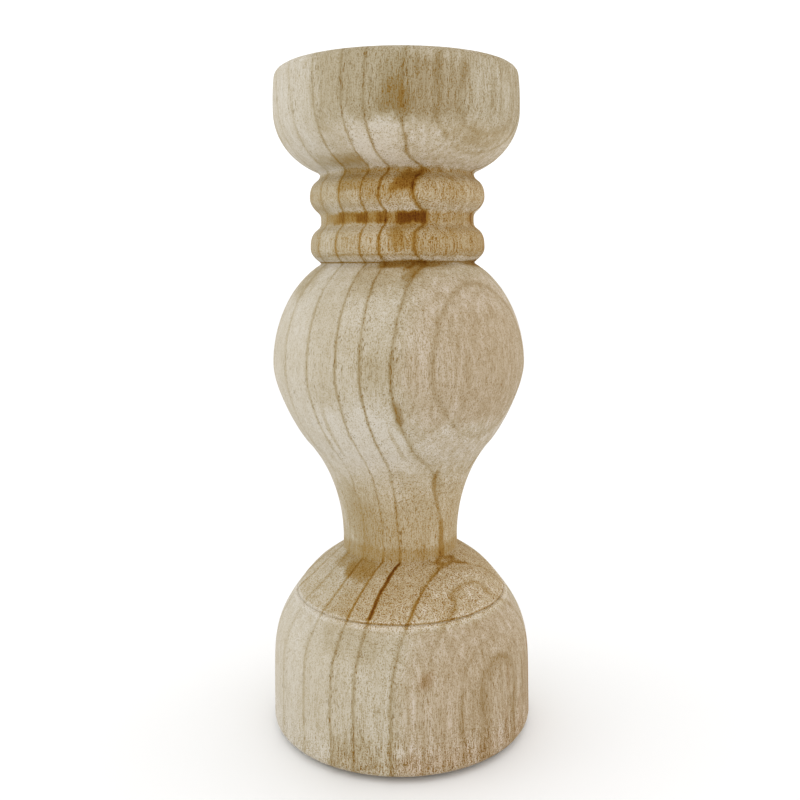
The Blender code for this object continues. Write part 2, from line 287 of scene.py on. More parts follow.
# The soft lights: their name, place and part of the side lights' power
LIGHTS = (("left_light", (-1.1, -0.1, 0.75), 1.0), ("right_light", (1.1, 0.25, 0.75), 0.8))
LIGHT_SIZE = 1.0


def length(name, description, default):
    return bpy.props.FloatProperty(name=name, description=description, default=default, unit="LENGTH",
                                   min=0.0, precision=5)


def colour(name, description, default):
    return bpy.props.FloatVectorProperty(name=name, description=description, default=default,
                                         subtype="COLOR", size=3, min=0.0, max=1.0)


def share(name, description, default):
    return bpy.props.FloatProperty(name=name, description=description, default=default,
                                   subtype="FACTOR", min=0.0, max=1.0)


class BaseSizes(bpy.types.PropertyGroup):
    """The base, from the foot round up to the corner where the stem starts."""

    diameter: length("Diameter", "Widest diameter of the base", 0.1158)
    foot_round: length("Foot round", "Radius of the round at the foot", 0.0034)
    wall_height: length("Wall height", "Height of the upright wall", 0.0214)
    wall_taper: length("Wall taper", "How much the diameter shrinks up the wall", 0.0009)
    lower_shoulder: length("Lower shoulder", "Height of the dome up to the scribed line", 0.0386)
    upper_shoulder: length("Upper shoulder", "Height of the dome above the scribed line", 0.0188)
    line_diameter: length("Scribed line", "Diameter at which the fine line is scribed", 0.0927)
    line_width: length("Line width", "Width of the scribed line", 0.0009)
    line_depth: length("Line depth", "Depth of the scribed line", 0.0005)
    corner_diameter: length("Corner", "Diameter of the corner under the stem", 0.0508)
    centre_mark: length("Centre mark", "Diameter of the lathe's mark in the underside", 0.0060)
    centre_mark_depth: length("Centre mark depth", "Depth of the lathe's mark", 0.0026)


class StemSizes(bpy.types.PropertyGroup):
    """The stem and the bulb above it."""

    stem_height: length("Stem height", "Height of the foot of the stem", 0.0049)
    stem_diameter: length("Stem", "Narrowest diameter of the stem", 0.0505)
    cavetto_height: length("Hollow height", "Height of the hollow curve under the bulb", 0.0433)
    cavetto_top: length("Hollow top", "Diameter where the hollow turns into the bulb", 0.0793)
    bulb_lower: length("Bulb's lower half", "Height from the hollow to the widest point", 0.0336)
    bulb_upper: length("Bulb's upper half", "Height from the widest point to the quirk", 0.0416)
    bulb_diameter: length("Bulb", "Widest diameter of the bulb", 0.1074)


class BeadSizes(bpy.types.PropertyGroup):
    """The quirk, the two beads and the groove between them."""

    quirk_diameter: length("Quirk", "Diameter at the bottom of the quirk", 0.0650)
    quirk_lip: length("Quirk's lip", "How far the bulb stands out past the quirk", 0.0004)
    quirk_height: length("Quirk's height", "Height of the quirk", 0.0006)
    lower_rise: length("Lower bead, below", "Height of the lower bead below its middle", 0.0059)
    lower_fall: length("Lower bead, above", "Height of the lower bead above its middle", 0.0078)
    lower_diameter: length("Lower bead", "Diameter of the lower bead", 0.0734)
    groove_fall: length("Groove, below", "Height of the groove below its bottom", 0.0028)
    groove_rise: length("Groove, above", "Height of the groove above its bottom", 0.0041)
    groove_diameter: length("Groove", "Diameter at the bottom of the groove", 0.0642)
    upper_rise: length("Upper bead, below", "Height of the upper bead below its middle", 0.0062)
    upper_fall: length("Upper bead, above", "Height of the upper bead above its middle", 0.0065)
    upper_diameter: length("Upper bead", "Diameter of the upper bead", 0.0731)
    shoulder: length("Bead's shoulder", "How far a bead's edge stands out past the groove", 0.0017)
    neck_fall: length("Neck, below", "Height of the cove below the neck", 0.0028)
    neck_rise: length("Neck, above", "Height of the step above the neck", 0.0012)
    neck_diameter: length("Neck", "Diameter of the neck under the cup", 0.0641)
    crease: length("Crease", "How far the cup's underside steps out from the neck", 0.0011)


class CupSizes(bpy.types.PropertyGroup):
    """The cup and the recess in it."""

    underside: length("Underside", "Height from the neck to the widest point", 0.0235)
    wall_height: length("Wall height", "Height from the widest point to the rim", 0.0164)
    diameter: length("Diameter", "Widest diameter of the cup", 0.1013)
    rim_taper: length("Rim taper", "How much the diameter shrinks towards the rim", 0.0014)
    rim_round: length("Rim round", "Radius of the outer edge of the rim", 0.0034)
    rim_wall: length("Rim wall", "Width of the wall round the recess", 0.0079)
    inner_round: length("Inner round", "Radius of the inner edge of the rim", 0.0010)
    recess_depth: length("Recess depth", "Depth of the recess for the pan", 0.0220)
    pocket_diameter: length("Pocket", "Diameter of the pocket for the nail's head", 0.0160)
    pocket_depth: length("Pocket depth", "Depth of the pocket for the nail's head", 0.0020)


class MetalSizes(bpy.types.PropertyGroup):
    """The pressed pan and the pricket that holds the candle."""

    pan_clearance: length("Pan clearance", "Gap between the pan and the wall of the recess", 0.0005)
    sheet: length("Sheet", "Thickness of the pan's sheet", 0.0008)
    pan_height: length("Pan height", "Height of the pan to the top of its lip", 0.0125)
    pan_round: length("Pan round", "Radius of the corner between floor and wall", 0.0030)
    lip: length("Lip", "Diameter of the rolled lip", 0.0016)
    hole_clearance: length("Hole clearance", "Gap round the nail in its hole", 0.0003)
    nail_diameter: length("Nail", "Diameter of the pricket's shank", 0.0036)
    nail_length: length("Nail length", "Length of the pricket above the pan", 0.0195)
    point_length: length("Point length", "Length of the tapered point", 0.0150)
    point_diameter: length("Point", "Diameter at the tip of the point", 0.0005)
    head_diameter: length("Head", "Diameter of the nail's head", 0.0120)
    head_thickness: length("Head thickness", "Thickness of the nail's head", 0.0012)
    head_gap: length("Head gap", "Gap between the head and the pan", 0.0003)


class WoodLook(bpy.types.PropertyGroup):
    """The billet's growth and its colours."""

    growth_side: bpy.props.FloatProperty(
        name="Growth side", description="Which way the layers face, from the front round to the right",
        default=math.radians(45), subtype="ANGLE")
    pith_distance: length("Pith distance", "How far the middle of the tree lies from the axis", 0.2)
    sapwood: colour("Sapwood", "The palest wood, on the upright walls", (0.534, 0.482, 0.383))
    honey: colour("Honey", "The palest wood in the hollows, inside the sapwood", (0.576, 0.481, 0.348))
    umber: colour("Umber", "What tone 1 multiplies the wood by on upright walls", (0.455, 0.368, 0.212))
    amber: colour("Amber", "What tone 1 multiplies the wood by in the hollows", (0.555, 0.368, 0.105))
    rose: colour("Rose", "What tone 1 multiplies the wood by in the heartwood", (0.530, 0.368, 0.220))
    roughness: share("Roughness", "Roughness of the bare wood", 0.74)


class FittingsLook(bpy.types.PropertyGroup):
    """The metal and the felt."""

    steel: colour("Steel", "Colour of the pan and the pricket", (0.56, 0.56, 0.57))
    tarnish: colour("Tarnish", "Colour of the dull film on the steel", (0.33, 0.30, 0.27))
    felt: colour("Felt", "Colour of the felt pads", (0.105, 0.098, 0.092))


class StudioLook(bpy.types.PropertyGroup):
    """The floor, the light and the camera."""

    floor: colour("Floor", "Colour of the floor", (0.9, 0.9, 0.9))
    floor_radius: length("Floor radius", "Radius of the floor", 6.0)
    sky: bpy.props.FloatProperty(name="Sky", description="Strength of the even light", default=1.13)
    side_light: bpy.props.FloatProperty(name="Side lights", description="Power of each soft side light",
                                        default=1.5, unit="POWER")
    lens: bpy.props.FloatProperty(name="Lens", description="Focal length on a 36 mm sensor, in millimetres",
                                  default=39.24)
    camera_distance: length("Camera distance", "How far the camera stands from the axis", 0.3750)
    camera_height: length("Camera height", "How high the camera stands above the table", 0.2071)
    camera_offset: length("Camera offset", "How far the camera stands to the right", 0.0004)
    camera_pitch: bpy.props.FloatProperty(name="Camera pitch", description="How far the camera looks down",
                                          default=math.radians(9.33), subtype="ANGLE")
    camera_roll: bpy.props.FloatProperty(name="Camera roll", description="How far the camera is turned",
                                         default=math.radians(0.53), subtype="ANGLE")


def direction(lean):
    """The unit vector (outwards, up) that leans this many degrees out from straight up."""
    return Vector((math.sin(math.radians(lean)), math.cos(math.radians(lean))))


class Pen:
    """Draws an outline as (radius, height) points, no further apart than its pitch."""

    def __init__(self, radius, height, pitch):
        self.points = [Vector((radius, height))]
        self.pitch = pitch

    def line(self, out, up):
        """A straight run, by how far it goes outwards and upwards."""
        start = self.points[-1]
        step = Vector((out, up))
        count = max(1, math.ceil(step.length / self.pitch))
        self.points += [start + step * number / count for number in range(1, count + 1)]

    def sweep(self, lean, radius, rise, end_lean, fullness=1.0):
        """A curve that leaves and arrives at the given leans, ending at a radius, this much higher."""
        start = self.points[-1]
        end = Vector((radius, start.y + rise))
        reach = (end - start).length * fullness / 3
        first = start + reach * direction(lean)
        second = end - reach * direction(end_lean)
        count = max(3, math.ceil((end - start).length * 1.05 / self.pitch))
        for step in range(1, count + 1):
            t = step / count
            s = 1 - t
            self.points.append(s**3 * start + 3 * s * s * t * first + 3 * s * t * t * second + t**3 * end)

    def corner(self, size, lean, end_lean):
        """A round of this radius that turns from one lean to the next."""
        start = self.points[-1]
        turn = 1 if end_lean > lean else -1
        centre = start + turn * size * direction(lean + 90)
        arc = size * math.radians(abs(end_lean - lean))
        count = max(4, math.ceil(arc / self.pitch))
        for step in range(1, count + 1):
            at = lean + (end_lean - lean) * step / count
            self.points.append(centre - turn * size * direction(at + 90))


def spin_outline(name, points, segments, smooth_below, closed=False):
    """Extrudes a vertex along an outline in the XZ plane, and spins the outline about the Z axis."""
    bpy.ops.object.select_all(action="DESELECT")
    bpy.ops.mesh.primitive_plane_add(size=MM, location=(points[0].x, 0, points[0].y))
    bpy.ops.object.mode_set(mode="EDIT")
    bpy.ops.mesh.merge(type="CENTER")
    for start, end in zip(points, points[1:] + points[:1] * closed):
        step = (end.x - start.x, 0, end.y - start.y)
        bpy.ops.mesh.extrude_vertices_move(TRANSFORM_OT_translate={"value": step})
    bpy.ops.mesh.select_all(action="SELECT")
    bpy.ops.mesh.remove_doubles(threshold=WELD)
    bpy.ops.mesh.spin(steps=segments, angle=TURN, center=(0, 0, 0), axis=(0, 0, 1))
    bpy.ops.mesh.select_all(action="SELECT")
    bpy.ops.mesh.remove_doubles(threshold=WELD)
    bpy.ops.mesh.normals_make_consistent(inside=False)
    bpy.ops.object.mode_set(mode="OBJECT")
    bpy.ops.object.transform_apply(location=True, rotation=True, scale=True)
    bpy.ops.object.shade_smooth_by_angle(angle=smooth_below)
    piece = bpy.context.active_object
    piece.name = piece.data.name = name
    return piece


def roughen(piece, depth, size, stretch, seed):
    """Sinks a piece's surface by up to a depth, in a noise of this size that is stretched upwards."""
    mesh = piece.data
    places = np.empty(len(mesh.vertices) * 3, np.float32)
    mesh.vertices.foreach_get("co", places)
    places = places.reshape(-1, 3)
    outwards = np.empty_like(places)
    mesh.vertices.foreach_get("normal", outwards.reshape(-1))
    scaled = places / (size, size, size * stretch) + seed
    sink = np.array([0.5 + 0.5 * noise.noise(Vector(place)) for place in scaled], np.float32)
    places -= outwards * (depth * sink)[:, None]
    mesh.vertices.foreach_set("co", places.reshape(-1))
    mesh.update()


def dress(piece, body, node, material):
    """Gives a finished piece its material and its body, and hides the solid that it stands for."""
    piece.data.materials.clear()
    piece.data.materials.append(material)
    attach(piece, body)
    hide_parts(node)


def arithmetic(operation, swapped=False):
    """A method of a Result that joins it with a number or with another result."""

    def method(self, other):
        values = (other, self) if swapped else (self, other)
        return self.sheet.calc(operation, *values)

    return method


class Result:
    """What a node gives: its first output, or another by name. Arithmetic on it adds the nodes needed."""

    __add__ = __radd__ = arithmetic("ADD")
    __mul__ = __rmul__ = arithmetic("MULTIPLY")
    __sub__ = arithmetic("SUBTRACT")
    __rsub__ = arithmetic("SUBTRACT", swapped=True)
    __truediv__ = arithmetic("DIVIDE")
    __rtruediv__ = arithmetic("DIVIDE", swapped=True)

    def __init__(self, sheet, made, output=0):
        self.sheet = sheet
        self.made = made
        self.output = output

    def __getitem__(self, output):
        return Result(self.sheet, self.made, output)

    def __abs__(self):
        return self.sheet.calc("ABSOLUTE", self)


class Sheet:
    """A node tree in the making. Each call adds a node and gives back its result."""

    def __init__(self, tree):
        self.tree = tree

    def node(self, kind, inputs=None, **settings):
        made = self.tree.nodes.new(kind)
        for name, value in settings.items():
            setattr(made, name, value)
        for key, value in (inputs or {}).items():
            self.fill(made.inputs[key], value)
        return Result(self, made)

    def fill(self, socket, value):
        """Links a result to a socket, or sets the socket's own value."""
        if isinstance(value, Result):
            self.tree.links.new(value.made.outputs[value.output], socket)
        elif socket.type == "RGBA":
            socket.default_value = (*value, 1.0)
        else:
            socket.default_value = value

    def calc(self, operation, *values, clamp=False):
        return self.node("ShaderNodeMath", dict(enumerate(values)), operation=operation, use_clamp=clamp)

    def least(self, first, second):
        return self.calc("MINIMUM", first, second)

    def most(self, first, second):
        return self.calc("MAXIMUM", first, second)

    def vector(self, operation, *values):
        keys = (0, "Scale") if operation == "SCALE" else (0, 1)
        made = self.node("ShaderNodeVectorMath", dict(zip(keys, values)), operation=operation)
        return made["Value" if operation in ("DOT_PRODUCT", "LENGTH") else "Vector"]

    def ease(self, value, low, high, to_low=0.0, to_high=1.0):
        """Goes smoothly from one value to another as its input goes from low to high."""
        return self.node("ShaderNodeMapRange", {0: value, 1: low, 2: high, 3: to_low, 4: to_high},
                         interpolation_type="SMOOTHSTEP")

    def scale(self, value, low, high, to_low, to_high):
        """Maps a range to another in a straight line, also outside it."""
        return self.node("ShaderNodeMapRange", {0: value, 1: low, 2: high, 3: to_low, 4: to_high},
                         clamp=False)

    def band(self, value, middle, reach, soft):
        """1 within a reach of the middle, easing to 0 over a soft edge."""
        return self.ease(abs(value - middle), reach, reach + soft, 1.0, 0.0)

    def noise(self, place, scale, detail=2.0, roughness=0.5):
        return self.node("ShaderNodeTexNoise",
                         {"Vector": place, "Scale": scale, "Detail": detail, "Roughness": roughness})

    def swing(self, place, scale, reach, detail=2.0, roughness=0.5):
        """Noise about 0, from about minus to plus the reach."""
        return (self.noise(place, scale, detail, roughness) - 0.5) * (4 * reach)

    def stretch(self, place, across, along):
        """A place with its level axes and its upright axis scaled."""
        return self.vector("MULTIPLY", place, (across, across, along))

    def blend(self, amount, first, second, mode="MIX"):
        """Mixes two colours."""
        return self.node("ShaderNodeMix", {0: amount, 6: first, 7: second},
                         data_type="RGBA", blend_type=mode)[2]

    def shade(self, colour, amount):
        """A colour made darker, below 1, or paler, above it."""
        grey = self.node("ShaderNodeCombineColor", dict.fromkeys(range(3), amount))
        return self.blend(1.0, colour, grey, "MULTIPLY")

    def soak(self, bare, stain, tone):
        """A colour under a stain: bare at tone 0 and multiplied by the stain at tone 1."""
        bare, stain = (self.node("ShaderNodeSeparateColor", {0: shown}) for shown in (bare, stain))
        parts = {number: self.calc("POWER", stain[number], tone) * bare[number] for number in range(3)}
        return self.node("ShaderNodeCombineColor", parts)

    def curve(self, value, points, top):
        """A smooth curve through (input, result) points, for results from 0 to top."""
        start, end = points[0][0], points[-1][0]
        curved = self.node("ShaderNodeFloatCurve", {"Value": self.scale(value, start, end, 0.0, 1.0)})
        mapping = curved.made.mapping
        line = mapping.curves[0]
        while len(line.points) < len(points):
            line.points.new(0.5, 0.5)
        for point, (place, result) in zip(line.points, points):
            point.location = ((place - start) / (end - start), result / top)
            point.handle_type = "AUTO_CLAMPED"
        mapping.update()
        return curved * top

    def emboss(self, shader, relief, distance, strength):
        """Gives the shader a relief whose height 1 is this distance, in metres."""
        bump = self.node("ShaderNodeBump", {"Height": relief, "Distance": distance, "Strength": strength})
        self.fill(shader["Normal"], bump)


def node_group(name, **inputs):
    """Turns a function that builds nodes into one that places them in a sheet, as a group built only once.

    The inputs are given with their defaults, which are None for places. The function takes them in that
    order and gives back the group's outputs by name.
    """
    defaults = {key.replace("_", " ").capitalize(): default for key, default in inputs.items()}

    def add_socket(tree, label, side):
        kind = "NodeSocketVector" if label in ("Place", "Rings") else "NodeSocketFloat"
        return tree.interface.new_socket(label, in_out=side, socket_type=kind)

    def make_tree(build):
        tree = bpy.data.node_groups.new(name, "ShaderNodeTree")
        for label, default in defaults.items():
            socket = add_socket(tree, label, "INPUT")
            if default is not None:
                socket.default_value = default
        sheet = Sheet(tree)
        given = sheet.node("NodeGroupInput")
        results = build(sheet, *(given[label] for label in defaults))
        for label in results:
            add_socket(tree, label, "OUTPUT")
        leave = tree.nodes.new("NodeGroupOutput")
        for label, value in results.items():
            sheet.fill(leave.inputs[label], value)
        return tree

    def wrap(build):
        def place_in(sheet, *values):
            tree = bpy.data.node_groups.get(name) or make_tree(build)
            return sheet.node("ShaderNodeGroup", dict(zip(defaults, values)), node_tree=tree)

        return place_in

    return wrap


@node_group("Place on the piece")
def place_on_piece(sheet):
    """Where a point of a piece is, in millimetres from the middle of the wood's underside."""
    here = sheet.node("ShaderNodeTexCoord")["Object"]
    millimetres = sheet.vector("SCALE", sheet.vector("SUBTRACT", here, (0, 0, UNDERSIDE_Z)), 1 / MM)
    parts = sheet.node("ShaderNodeSeparateXYZ", {0: millimetres})
    level = sheet.node("ShaderNodeCombineXYZ", {"X": parts["X"], "Y": parts["Y"]})
    radius = sheet.vector("LENGTH", level)
    rings = sheet.node("ShaderNodeCombineXYZ", {"X": radius, "Z": parts["Z"]})
    return {"Place": millimetres, "Height": parts["Z"], "Rings": rings}


@node_group("Mottle", place=None, size=1.0)
def uneven_grain(sheet, place, size):
    """Fine uneven grain on any surface, about 0, in two sizes."""
    coarse = sheet.noise(place, 1.0 / size, 3.0, 0.6)
    fine = sheet.noise(place, 3.7 / size, 2.0, 0.6)
    return {"Mottle": (coarse * 0.6 + fine * 0.4 - 0.5) * 4.0}


@node_group("Lathe marks", place=None, rings=None, spacing=0.5)
def lathe_marks(sheet, place, rings, spacing):
    """Fine marks that run round the axis, about 0, broken up by a slow noise."""
    fine = sheet.noise(rings, 1.0 / spacing, 3.0, 0.7)
    broken = sheet.ease(sheet.noise(place, 0.08), 0.35, 0.65)
    return {"Marks": (fine - 0.5) * 4.0 * broken}


@node_group("Growth layers", place=None, height=0.0)
def growth_layers(sheet, place, height):
    """Counts the growth layers across the billet: 0 at the left line, 1 at the right line and on inwards."""
    look = bpy.context.scene.candle_wood
    side = look.growth_side
    facing = sheet.vector("DOT_PRODUCT", place, (math.sin(side), -math.cos(side), 0))
    beside = sheet.vector("DOT_PRODUCT", place, (math.cos(side), math.sin(side), 0))
    bow = beside * beside * (-MM / (2 * look.pith_distance))
    long_place = sheet.stretch(place, 1.0, 0.35)
    wander = (sheet.swing(long_place, 0.04, 0.4) + sheet.swing(long_place, 0.22, 0.24)
              + sheet.swing(sheet.stretch(place, 1.0, 0.4), 0.9, 0.26, 3.0, 0.7))
    across = facing + bow + wander
    heights, *lines = zip(*LINE_PLACES)
    left, middle, right, far = (sheet.curve(height, list(zip(heights, line)), LINE_PLACE_TOP)
                                for line in lines)
    layer = sheet.scale(sheet.least(across, middle), left, middle, 0.0, MIDDLE_LAYER)
    to_right = sheet.least(sheet.scale(across, middle, right, 0.0, 1.0), 1.0)
    layer = layer + sheet.most(to_right, 0.0) * (1.0 - MIDDLE_LAYER)
    to_far = sheet.scale(across, right, far, 0.0, 1.0)
    layer = layer + sheet.most(to_far, 0.0) * (FAR_LAYER - 1.0)
    return {"Layer": layer, "Across": across, "Beside": beside}


@node_group("Growth line", layer=0.0, at=0.0, width=0.1, strength=1.0)
def growth_line(sheet, layer, at, width, strength):
    """One growth line at its layer, which fades on both sides, and a longer tail on its inner side."""
    away = (layer - at) / width
    near = sheet.calc("SUBTRACT", 1.0, abs(away), clamp=True)
    tail = sheet.calc("SUBTRACT", 1.0, sheet.most(away * -1.0, away * 0.3), clamp=True)
    return {"Line": near * near * strength, "Tail": tail * strength}


@node_group("Fibres", place=None)
def upright_fibres(sheet, place):
    """The wood's upright fibres, about 0, its long open pores, 0 to 1, and each pore's chance to show."""
    broad = sheet.swing(sheet.stretch(place, 0.8, 0.05), 1.0, 0.35, 3.0, 0.7)
    narrow = sheet.swing(sheet.stretch(place, 2.7, 0.2), 1.0, 1.1, 2.0, 0.7)
    cells = sheet.node("ShaderNodeTexVoronoi", {"Vector": sheet.stretch(place, 1.9, 0.3), "Scale": 1.0})
    pores = sheet.ease(cells["Distance"], 0.2, 0.42, 1.0, 0.0)
    chance = sheet.node("ShaderNodeSeparateColor", {0: cells["Color"]})
    return {"Fibres": broad + narrow, "Pores": pores, "Chance": chance}


@node_group("Stipple", place=None)
def fibre_ends(sheet, place):
    """The open ends of the fibres where they are cut across: a fine stipple, about 0."""
    grains = sheet.swing(sheet.stretch(place, 1.0, 0.7), 1.9, 1.0, 2.0, 0.7)
    cells = sheet.node("ShaderNodeTexVoronoi", {"Vector": place, "Scale": 1.3})
    return {"Stipple": grains + sheet.ease(cells["Distance"], 0.1, 0.42, -0.9, 0.3)}


@node_group("Toned part", tone=0.0, height=0.0, layer=0.0, beside=0.0, fray=0.0, at_height=0.0, reach_up=1.0,
            soft_up=1.0, at=0.0, reach=1.0, soft=1.0, side=0.0, new_tone=1.0)
def toned_part(sheet, tone, height, layer, beside, fray, at_height, reach_up, soft_up, at, reach, soft, side,
               new_tone):
    """Takes the tone to another value over a part of a layer's height, on one side of the billet or both."""
    change = new_tone - tone
    for value, middle, near, edge in ((height, at_height, reach_up, soft_up), (layer, at, reach, soft)):
        past = (abs(value + fray * edge - middle) - near) / edge
        change = change * sheet.ease(past, 0.0, 1.0, 1.0, 0.0)
    return {"Tone": tone + change * sheet.ease(beside * side, -SIDE_EDGE, 0.0)}


def start_material(name):
    """A material, a sheet for its nodes, and the inputs of its Principled shader."""
    material = bpy.data.materials.new(name)
    material.use_nodes = True
    return material, Sheet(material.node_tree), material.node_tree.nodes["Principled BSDF"].inputs


def wood_material(look, line_height):
    """Bare turned wood, cut from one billet: growth lines, pores, fibres, end grain, and hollows darkened
    partly by browning and partly by painted shade, with painted light on faces that look down.
    """
    material, sheet, shader = start_material("bare_turned_wood")
    where = place_on_piece(sheet)
    place, height = where["Place"], where["Height"]
    growth = growth_layers(sheet, place, height)
    layer, beside = growth["Layer"], growth["Beside"]
    fibres = upright_fibres(sheet, place)
    stipple = fibre_ends(sheet, place)
    mottle = uneven_grain(sheet, place, 1.1)
    sanding = lathe_marks(sheet, place, where["Rings"], 0.45)
    patches = sheet.noise(sheet.stretch(place, 1.0, 0.55), 0.075, 2.0, 0.55)
    clumps = sheet.swing(sheet.stretch(place, 1.0, 0.4), 0.3, 1.0, 3.0, 0.6)
    blotches = sheet.noise(place, 0.16, 3.0, 0.6)
    figure = sheet.swing(sheet.stretch(place, 0.45, 0.025), 1.0, 1.0, 3.0, 0.6)

    # How far the surface is cut across the upright fibres: 0 on a wall, 1 on end grain
    normal = sheet.node("ShaderNodeTexCoord")["Normal"]
    upwards = sheet.node("ShaderNodeSeparateXYZ", {0: normal})["Z"]
    cut = sheet.ease(abs(upwards), 0.15, 0.75)

    # The tone: the growth layer's own, then those of the parts and streaks that are darker or paler than it.
    # Some parts are painted shade in grooves and creases, and some painted light on faces that look down
    stain_and_painted_light = sheet.curve(layer, LAYER_TONES, LAYER_TONE_TOP)
    fray = (sheet.swing(sheet.stretch(place, 1.1, 0.06), 1.0, 0.22)
            + sheet.swing(sheet.stretch(place, 1.0, 0.6), 0.13, 0.4, 3.0))
    for part in TONED_PARTS:
        stain_and_painted_light = toned_part(sheet, stain_and_painted_light, height, layer, beside, fray, *part)
    drifted = beside + sheet.ease(height, *DRIFT_HEIGHTS, 0.0, DRIFT)
    inner = sheet.scale(layer, 0.0, 1.0, -SIDE_EDGE, 0.0)
    for streak in STREAKS:
        stain_and_painted_light = toned_part(sheet, stain_and_painted_light, height, drifted, inner, fray, *streak)

    # Growth lines, and the pores beside them
    lines = tails = faded = 0.0
    for grown in GROWTH_LINES:
        line = growth_line(sheet, layer, *grown)
        lines = sheet.most(lines, line["Line"])
        tails = sheet.most(tails, line["Tail"])
    for middle, reach, soft, start, end, amount in FADED_LINES:
        here = sheet.band(height, middle, reach, soft) * sheet.ease(beside, start, end, 0.0, amount)
        faded = sheet.most(faded, here)
    lines = (lines * sheet.curve(height, LINE_STRENGTHS, LINE_STRENGTH_TOP)
             * sheet.ease(patches, 0.32, 0.64, 0.7, 1.25) * (1.0 - faded)
             * (1.0 + fibres * 0.3 + stipple * 0.3))
    foot = sheet.ease(height, *FOOT_HEIGHTS) * sheet.ease(layer, -0.1, 0.05)
    crowd = 0.06 + tails * 1.2 + foot * 0.3 + (blotches - 0.5) * 0.5
    pores = fibres["Pores"] * sheet.calc("LESS_THAN", fibres["Chance"], crowd)

    # Fine paler and darker grain: fibres on the walls, stipple on end grain, and a pale band under the
    # scribed line, partly scraped and partly a painted highlight
    slices = sheet.node("ShaderNodeCombineXYZ", {"X": growth["Across"], "Z": height * 0.02})
    rings = sheet.swing(slices, 0.75, 1.0, 3.0, 0.65)
    # Pale band under the scribed line: partly freshly scraped wood, partly a painted highlight on the
    # groove's lower lip.
    scraped_and_highlit = sheet.band(height, line_height - 1.1, 0.45, 0.35) * sheet.ease(blotches, 0.3, 0.6, 0.5, 1.0)
    grit = sheet.swing(sheet.stretch(place, 1.0, 0.6), 2.9, 1.0, 1.0)
    wall = 1.0 - cut
    grain = fibres * (0.15 + wall * 0.85) + stipple * (0.6 + cut * 0.4) + grit * 0.85
    grain = (sheet.least(grain, GRAIN_CAP) * sheet.curve(height, GRAIN_STRENGTHS, 1.0)
             * sheet.ease(layer, -0.9, 1.3, 0.75, 1.45))
    pale = (grain + mottle * 0.06 + clumps * (0.04 + cut * 0.12) + rings * 0.04 + sanding * 0.03
            + scraped_and_highlit * 0.16 + figure * sheet.ease(layer, 0.6, 1.3, 0.04, 0.22) + (patches - 0.5) * 0.2)
    speckles = pores * (0.3 + tails * 1.2)
    marks = sheet.most(lines + speckles - pale, PALEST_TONE - stain_and_painted_light)

    # The tone's hue: umber on the walls, amber where it is deep or the fibres are cut, rose in the heartwood
    tone = stain_and_painted_light + marks
    amber = sheet.curve(height, AMBER_SHARES, 1.0)
    warm = sheet.most(amber * sheet.ease(tone, 0.25, 1.05, 0.1, 1.0), sheet.ease(tone, 0.7, 1.4))
    dark = sheet.blend(warm, look.umber, look.amber)
    heart = (sheet.ease(layer, 0.9, 1.4) * sheet.ease(amber, 0.7, 0.2)
             * sheet.ease(height, *HEARTWOOD_HEIGHTS, 1.0, 0.2))
    bare = sheet.blend(amber * sheet.ease(layer, -1.2, 0.8, 0.15, 1.0), look.sapwood, look.honey)
    shown = sheet.soak(bare, sheet.blend(heart, dark, look.rose), stain_and_painted_light)
    sheet.fill(shader["Base Color"], sheet.soak(shown, dark, sheet.least(marks, DARKEST_MARK)))

    sheet.fill(shader["Roughness"], look.roughness + mottle * 0.05 + pores * 0.1)
    relief = fibres * 0.30 + stipple * (cut * 0.5) + mottle * 0.25 + sanding * 0.15 + pores * -0.9
    sheet.emboss(shader, relief, 0.15 * MM, 0.9)
    shader["Specular IOR Level"].default_value = 0.1
    return material


def steel_material(look):
    """Satin pressed steel with marks round it, a dull film and a few scratches."""
    material, sheet, shader = start_material("satin_steel")
    where = place_on_piece(sheet)
    place = where["Place"]
    marks = lathe_marks(sheet, place, where["Rings"], 0.16)
    mottle = uneven_grain(sheet, place, 2.4)
    film = sheet.ease(sheet.noise(place, 0.16, 5.0, 0.68), 0.35, 0.75)
    scratches = sheet.noise(sheet.vector("MULTIPLY", place, (0.3, 4.0, 1.0)), 1.0, 1.0)
    scratches = sheet.ease(abs(scratches - 0.5), 0.0, 0.012, 1.0, 0.0)
    tinted = sheet.blend(film * 0.28, look.steel, look.tarnish)
    sheet.fill(shader["Base Color"], sheet.shade(tinted, 1.0 + marks * 0.06 + mottle * 0.03))
    shader["Metallic"].default_value = 1.0
    sheet.fill(shader["Roughness"], 0.30 + film * 0.10 + marks * 0.06 + scratches * 0.08)
    sheet.emboss(shader, marks * 0.5 + mottle * 0.25 + scratches * -0.5, 0.02 * MM, 0.6)
    return material


def felt_material(look):
    """Pressed felt: matted fibres in two directions, with a soft sheen."""
    material, sheet, shader = start_material("pressed_felt")
    place = place_on_piece(sheet)["Place"]
    mottle = uneven_grain(sheet, place, 0.9)
    warp = sheet.noise(place, 0.7)["Color"]
    bent = sheet.vector("ADD", place, sheet.vector("SCALE", warp, 2.2))
    first, second = (sheet.noise(sheet.vector("MULTIPLY", bent, size), 1.0, 2.0, 0.7)
                     for size in ((5.0, 0.7, 2.0), (0.7, 5.0, 2.0)))
    strands = sheet.most(first, second)
    sheet.fill(shader["Base Color"], sheet.shade(look.felt, 0.35 + strands * 1.15 + mottle * 0.18))
    shader["Roughness"].default_value = 0.95
    shader["Sheen Weight"].default_value = 0.5
    shader["Sheen Roughness"].default_value = 0.5
    sheet.emboss(shader, strands + mottle * 0.3, 0.25 * MM, 0.9)
    return material


def floor_material(look):
    """A plain pale floor with the faintest unevenness."""
    material, sheet, shader = start_material("pale_floor")
    mottle = uneven_grain(sheet, place_on_piece(sheet)["Place"], 60.0)
    shader["Base Color"].default_value = (*look.floor, 1.0)
    sheet.fill(shader["Roughness"], 0.8 + mottle * 0.03)
    return material


